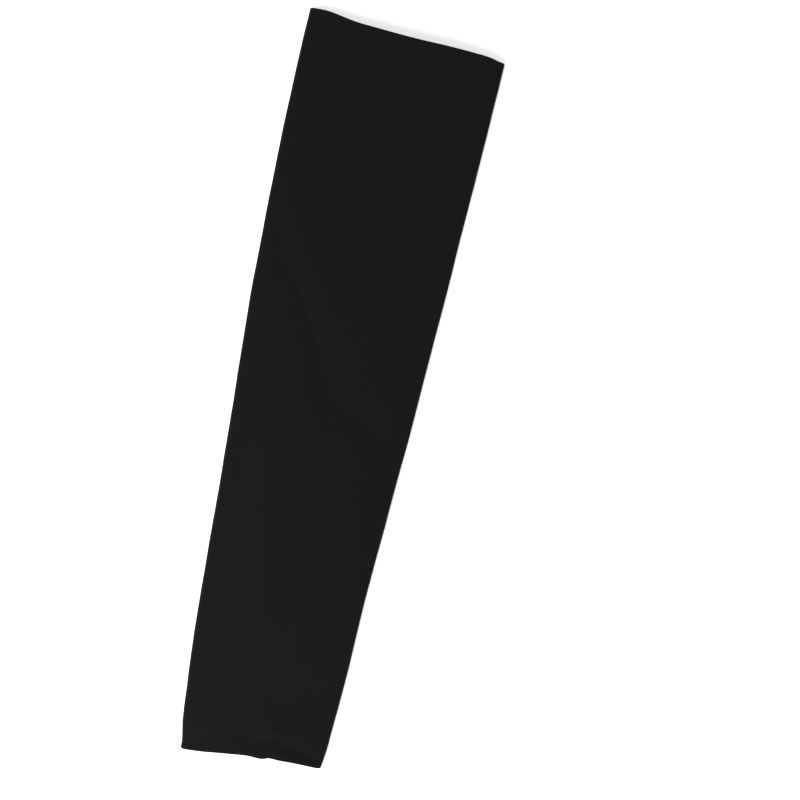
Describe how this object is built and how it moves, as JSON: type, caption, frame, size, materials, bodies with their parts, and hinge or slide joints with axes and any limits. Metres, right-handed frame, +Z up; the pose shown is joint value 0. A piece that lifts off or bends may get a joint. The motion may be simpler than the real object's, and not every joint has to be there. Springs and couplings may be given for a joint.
{
  "type": "arm sleeve",
  "caption": "Tapered knit arm sleeve lying flat: a tube with a turned-in hem at the upper arm and the wrist and one lengthwise seam.",
  "frame": {"origin": "under the middle of the sleeve's box, on the surface that it lies on", "axes": "+Y along the sleeve from the wrist to the upper arm, +X across it, +Z up out of the surface"},
  "size_m": [0.1106, 0.4086, 0.0109],
  "materials": {
    "knit_cloth": "matt black stretch knit",
    "hem_cloth": "matt black stretch knit, doubled",
    "overlocked_edge": "black overlock thread on cut knit"
  },
  "bodies": {
    "root": {"sleeve_body": "knit_cloth", "upper_hem": "hem_cloth", "wrist_hem": "hem_cloth", "seam_allowance": "overlocked_edge"}
  },
  "joints": []
}
